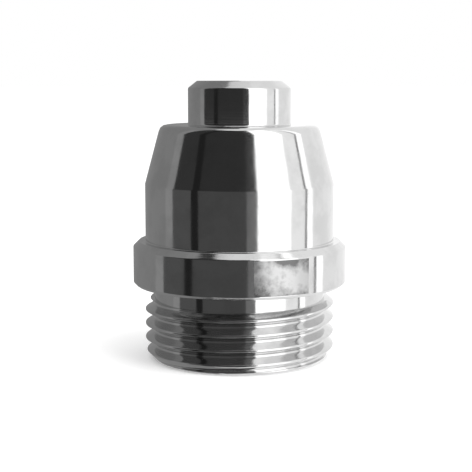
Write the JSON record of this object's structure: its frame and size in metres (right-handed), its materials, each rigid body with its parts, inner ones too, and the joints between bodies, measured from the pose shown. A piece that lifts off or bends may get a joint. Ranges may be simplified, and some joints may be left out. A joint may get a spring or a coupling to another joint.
{
  "type": "plasma torch nozzle",
  "caption": "Plated, turned plasma torch nozzle: blunt cylindrical tip on a conical shoulder, round flange and a male thread at the open end.",
  "frame": {"origin": "centre of the threaded end face, on the nozzle's axis", "axes": "+Z along the axis towards the tip; the thread's groove runs out of the end face 175 degrees round from +X towards +Y"},
  "size_m": [0.0224, 0.0224, 0.0292],
  "materials": {
    "plating": "bright chrome plate on turned copper"
  },
  "bodies": {
    "root": {"nozzle": "plating"}
  },
  "joints": []
}
